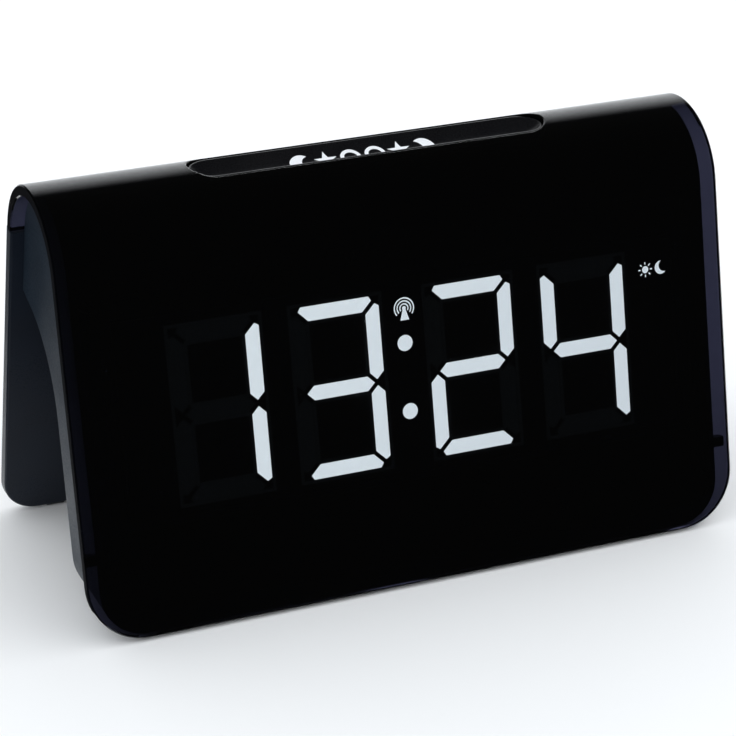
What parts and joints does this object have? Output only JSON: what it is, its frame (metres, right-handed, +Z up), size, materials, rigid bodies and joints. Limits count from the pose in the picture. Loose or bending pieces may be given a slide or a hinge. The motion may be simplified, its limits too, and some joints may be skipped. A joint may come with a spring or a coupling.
{
  "type": "alarm clock",
  "caption": "Folded desk clock with a smoked front panel over bar-type digits, a long snooze key in the crest and a rear leg with set buttons.",
  "frame": {"origin": "on the table, midway between the front lower edge and the leg, centred across the clock", "axes": "+X to the right seen from the front, +Y to the back, +Z up"},
  "size_m": [0.15, 0.0699, 0.0903],
  "materials": {
    "smoked_acrylic": "polished, transparent smoke tint",
    "foam_tape": "matt black foam",
    "housing_plastic": "fine spark texture",
    "cover_plastic": "fine spark texture",
    "leg_plastic": "satin",
    "key_plastic": "satin gloss",
    "button_rubber": "satin",
    "slider_plastic": "satin",
    "foot_rubber": "matt",
    "inner_plastic": "moulded",
    "reflector_plastic": "matt black face",
    "lit_guide": "milky light guide, lit",
    "dark_guide": "grey light guide, unlit",
    "board_green": "solder mask",
    "led_package": "moulded package",
    "chip_black": "moulded epoxy",
    "can_metal": "bare can",
    "ferrite": "sintered",
    "copper_coil": "enamelled wire",
    "contact_metal": "plated",
    "spring_steel": "drawn wire",
    "cell_steel": "brushed can",
    "screw_steel": "zinc plated",
    "wire_red": "insulation",
    "wire_grey": "insulation"
  },
  "bodies": {
    "housing": {"aerial_coil": "copper_coil", "aerial_rod": "ferrite", "aerial_wires": "wire_grey", "back_cover": "cover_plastic", "backup_cell": "cell_steel", "bars_dark": "dark_guide", "bars_lit": "lit_guide", "board_screws": "screw_steel", "body_shell": "housing_plastic", "button_board": "board_green", "button_switches": "chip_black", "buzzer": "chip_black", "buzzer_wires": "wire_grey", "capacitors": "can_metal", "case_screws": "screw_steel", "cell_contact": "contact_metal", "cell_holder": "inner_plastic", "colon_dots": "lit_guide", "crystal": "can_metal", "display_reflector": "reflector_plastic", "front_feet": "foot_rubber", "front_lens": "smoked_acrylic", "inlet_pin": "contact_metal", "inlet_wires": "wire_red", "inner_screws": "screw_steel", "key_frame": "inner_plastic", "led_chips": "led_package", "leg_feet": "foot_rubber", "leg_screws": "screw_steel", "lens_tape": "foam_tape", "logic_chips": "chip_black", "main_board": "board_green", "power_inlet": "inner_plastic", "radio_board": "board_green", "rear_leg": "leg_plastic", "ribbon_cable": "wire_grey", "slider_case": "contact_metal", "snooze_board": "board_green", "snooze_springs": "spring_steel", "snooze_switch": "chip_black", "status_icons": "lit_guide"},
    "snooze": {"snooze_key": "key_plastic", "snooze_plunger": "inner_plastic"},
    "slider": {"alarm_slider": "slider_plastic"},
    "door": {"cell_door": "cover_plastic"},
    "clock_button": {"button_clock": "button_rubber", "plunger_clock": "inner_plastic"},
    "alarm_button": {"button_alarm": "button_rubber", "plunger_alarm": "inner_plastic"},
    "up_button": {"button_up": "button_rubber", "plunger_up": "inner_plastic"},
    "down_button": {"button_down": "button_rubber", "plunger_down": "inner_plastic"},
    "light_button": {"button_light": "button_rubber", "plunger_light": "inner_plastic"}
  },
  "joints": [
    {"name": "snooze_press", "type": "slide", "parent": "housing", "child": "snooze", "axis": [0, 0, -1], "range_m": [0, 0.0012], "stiffness_N_per_m": 900, "springref_m": -0.0006, "deforming": ["snooze_springs"]},
    {"name": "clock_press", "type": "slide", "parent": "housing", "child": "clock_button", "axis": [0, -0.9681, -0.2504], "range_m": [0, 0.0008], "stiffness_N_per_m": 1200, "springref_m": -0.0004},
    {"name": "alarm_press", "type": "slide", "parent": "housing", "child": "alarm_button", "axis": [0, -0.9681, -0.2504], "range_m": [0, 0.0008], "stiffness_N_per_m": 1200, "springref_m": -0.0004},
    {"name": "up_press", "type": "slide", "parent": "housing", "child": "up_button", "axis": [0, -0.9681, -0.2504], "range_m": [0, 0.0008], "stiffness_N_per_m": 1200, "springref_m": -0.0004},
    {"name": "down_press", "type": "slide", "parent": "housing", "child": "down_button", "axis": [0, -0.9681, -0.2504], "range_m": [0, 0.0008], "stiffness_N_per_m": 1200, "springref_m": -0.0004},
    {"name": "light_press", "type": "slide", "parent": "housing", "child": "light_button", "axis": [0, -0.9681, -0.2504], "range_m": [0, 0.0008], "stiffness_N_per_m": 1200, "springref_m": -0.0004},
    {"name": "alarm_slide", "type": "slide", "parent": "housing", "child": "slider", "axis": [1, 0, 0], "range_m": [-0.002, 0.002]},
    {"name": "door_twist", "type": "hinge", "parent": "housing", "child": "door", "pos_m": [0, -0.01101, 0.01523], "axis": [0, 0.979, -0.2036], "range_deg": [0, 60]}
  ]
}
